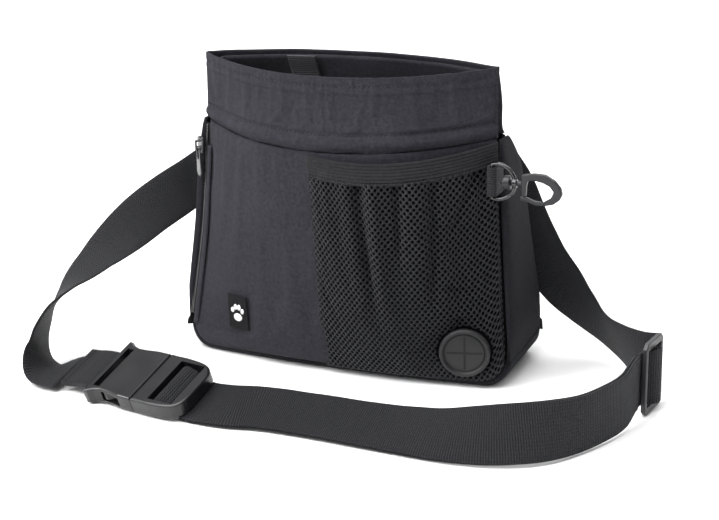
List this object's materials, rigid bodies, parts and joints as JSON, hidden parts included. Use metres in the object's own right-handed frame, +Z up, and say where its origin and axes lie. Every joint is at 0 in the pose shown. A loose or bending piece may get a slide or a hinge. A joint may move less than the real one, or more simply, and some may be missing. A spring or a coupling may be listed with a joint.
{
  "type": "treat pouch",
  "caption": "Soft black treat pouch standing on its base, with zipped pocket, mesh pocket, rubber bag port, snap hook and waist belt with side release buckle",
  "frame": {"origin": "middle of the pouch's footprint, on the surface it stands on", "axes": "Z is up, the front of the pouch with the mesh pocket faces -Y, and +X is to the right seen from the front"},
  "size_m": [0.3526, 0.1783, 0.1765],
  "materials": {
    "shell": "tight woven polyester, slightly padded",
    "lining": "smooth thin lining",
    "mesh": "open hexagonal mesh",
    "elastic": "ribbed elastic",
    "webbing": "ribbed webbing",
    "label": "woven label",
    "port": "soft matt rubber",
    "plastic": "moulded satin plastic",
    "hook": "moulded matt plastic",
    "metal": "black coated wire"
  },
  "bodies": {
    "pouch": {"front_panel": "shell", "back_panel": "shell", "left_gusset": "shell", "right_gusset": "shell", "base_panel": "shell", "collar_front": "shell", "collar_back": "shell", "lining": "lining", "zip_pocket_back": "lining", "inner_ribbon_tab": "webbing", "zip_tape": "webbing", "zip_coil": "metal", "zip_flap": "shell", "woven_label": "label", "mesh_pocket": "mesh", "pocket_elastic": "elastic", "bag_port": "port", "eye_tab": "shell", "belt_loop_left": "webbing", "belt_loop_right": "webbing", "belt_back": "webbing", "belt_left": "webbing", "belt_right": "webbing", "belt_front": "webbing", "buckle_plug": "plastic"},
    "zip_runner": {"zip_slider": "metal"},
    "zip_pull": {"zip_puller": "metal"},
    "eye": {"swivel_eye": "metal"},
    "hook": {"hook_body": "hook"},
    "gate": {"hook_gate": "hook"},
    "socket": {"buckle_socket": "plastic", "belt_sewn_end": "webbing"},
    "prong_near": {"buckle_prong_near": "plastic"},
    "prong_far": {"buckle_prong_far": "plastic"},
    "glide": {"triglide": "plastic", "belt_end_loop": "webbing"}
  },
  "joints": [
    {"name": "zip_slide", "type": "slide", "parent": "pouch", "child": "zip_runner", "axis": [-0.0871, -0.1143, -0.9896], "range_m": [0, 0.0889]},
    {"name": "zip_pull_hinge", "type": "hinge", "parent": "zip_runner", "child": "zip_pull", "pos_m": [-0.09095, -0.02337, 0.1208], "axis": [0.788, -0.6157, 0], "range_deg": [-70, 0]},
    {"name": "eye_hinge", "type": "hinge", "parent": "pouch", "child": "eye", "pos_m": [0.0895, -0.0315, 0.1175], "axis": [0, 0, 1], "range_deg": [-55, 30]},
    {"name": "hook_swivel", "type": "hinge", "parent": "eye", "child": "hook", "pos_m": [0.1036, -0.0315, 0.1175], "axis": [1, 0, 0], "continuous": true},
    {"name": "gate_hinge", "type": "hinge", "parent": "hook", "child": "gate", "pos_m": [0.1066, -0.0315, 0.1096], "axis": [0, 1, 0], "range_deg": [-18, 0], "stiffness_Nm_per_rad": 0.02},
    {"name": "buckle_release", "type": "slide", "parent": "pouch", "child": "socket", "axis": [-0.9848, 0.1736, 0], "range_m": [0, 0.024], "deforming": ["belt_left"]},
    {"name": "prong_near_hinge", "type": "hinge", "parent": "pouch", "child": "prong_near", "pos_m": [-0.07541, -0.12549, 0.00817], "axis": [0.0594, 0.3368, -0.9397], "range_deg": [0, 10.5], "stiffness_Nm_per_rad": 0.02},
    {"name": "prong_far_hinge", "type": "hinge", "parent": "pouch", "child": "prong_far", "pos_m": [-0.07165, -0.10421, 0.01603], "axis": [-0.0594, -0.3368, 0.9397], "range_deg": [0, 10.5], "stiffness_Nm_per_rad": 0.02},
    {"name": "glide_slide", "type": "slide", "parent": "pouch", "child": "glide", "axis": [0.1392, 0.9903, 0], "range_m": [-0.015, 0.015], "deforming": ["belt_right", "belt_front"]}
  ],
  "couplings": [
    {"joint": "prong_near_hinge", "follows": "buckle_release", "rad_per_m": 7.2722},
    {"joint": "prong_far_hinge", "follows": "buckle_release", "rad_per_m": 7.2722}
  ]
}
